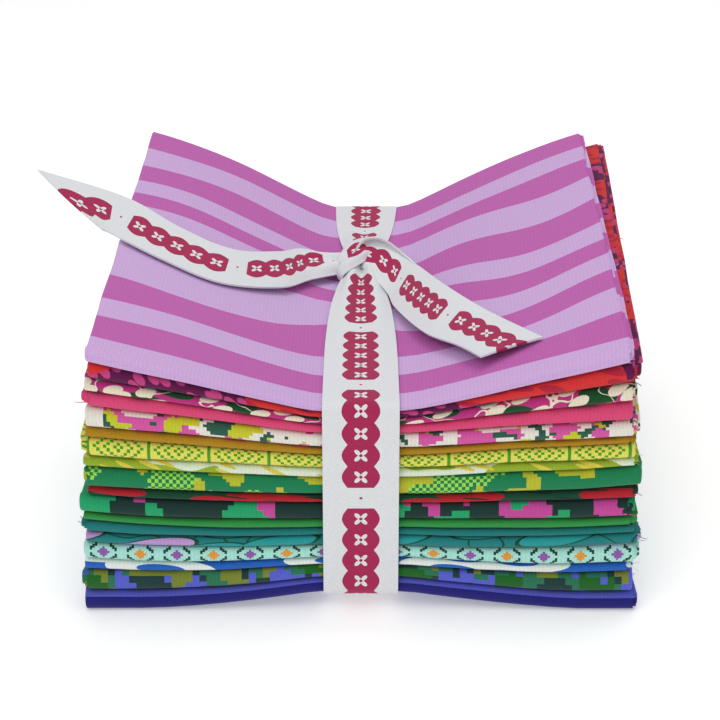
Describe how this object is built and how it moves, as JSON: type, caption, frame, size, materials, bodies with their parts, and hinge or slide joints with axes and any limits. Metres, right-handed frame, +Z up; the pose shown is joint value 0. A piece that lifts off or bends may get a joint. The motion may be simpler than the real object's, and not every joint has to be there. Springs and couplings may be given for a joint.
{
  "type": "fat quarter bundle",
  "caption": "Stack of folded cotton fat quarters pinched in the middle by a knotted flat ribbon with two free ends.",
  "frame": {"origin": "under the middle of the bundle's box, on the surface that it rests on", "axes": "+X left to right across the folded fat quarters, +Y from their closed front folds to the back, +Z up"},
  "size_m": [0.1652, 0.153, 0.0956],
  "materials": {
    "orchid_stripe": "plain woven quilting cotton, matt",
    "plum_petal": "plain woven quilting cotton, matt",
    "magenta_bloom": "plain woven quilting cotton, matt",
    "hot_pink_solid": "plain woven quilting cotton, matt",
    "cream_chart": "plain woven quilting cotton, matt",
    "mustard_solid": "plain woven quilting cotton, matt",
    "yellow_chart": "plain woven quilting cotton, matt",
    "olive_brush": "plain woven quilting cotton, matt",
    "green_check": "plain woven quilting cotton, matt",
    "forest_petal": "plain woven quilting cotton, matt",
    "teal_block": "plain woven quilting cotton, matt",
    "green_solid": "plain woven quilting cotton, matt",
    "teal_solid": "plain woven quilting cotton, matt",
    "teal_leaf": "plain woven quilting cotton, matt",
    "aqua_chart": "plain woven quilting cotton, matt",
    "blue_shape": "plain woven quilting cotton, matt",
    "night_block": "plain woven quilting cotton, matt",
    "navy_stripe": "plain woven quilting cotton, matt",
    "white_twill": "flat cotton twill tape, matt"
  },
  "bodies": {
    "root": {"fat_quarter_01": "orchid_stripe", "fat_quarter_02": "plum_petal", "fat_quarter_03": "magenta_bloom", "fat_quarter_04": "hot_pink_solid", "fat_quarter_05": "cream_chart", "fat_quarter_06": "mustard_solid", "fat_quarter_07": "yellow_chart", "fat_quarter_08": "olive_brush", "fat_quarter_09": "green_check", "fat_quarter_10": "forest_petal", "fat_quarter_11": "teal_block", "fat_quarter_12": "green_solid", "fat_quarter_13": "teal_solid", "fat_quarter_14": "teal_leaf", "fat_quarter_15": "aqua_chart", "fat_quarter_16": "blue_shape", "fat_quarter_17": "night_block", "fat_quarter_18": "navy_stripe", "ribbon": "white_twill"}
  },
  "joints": []
}
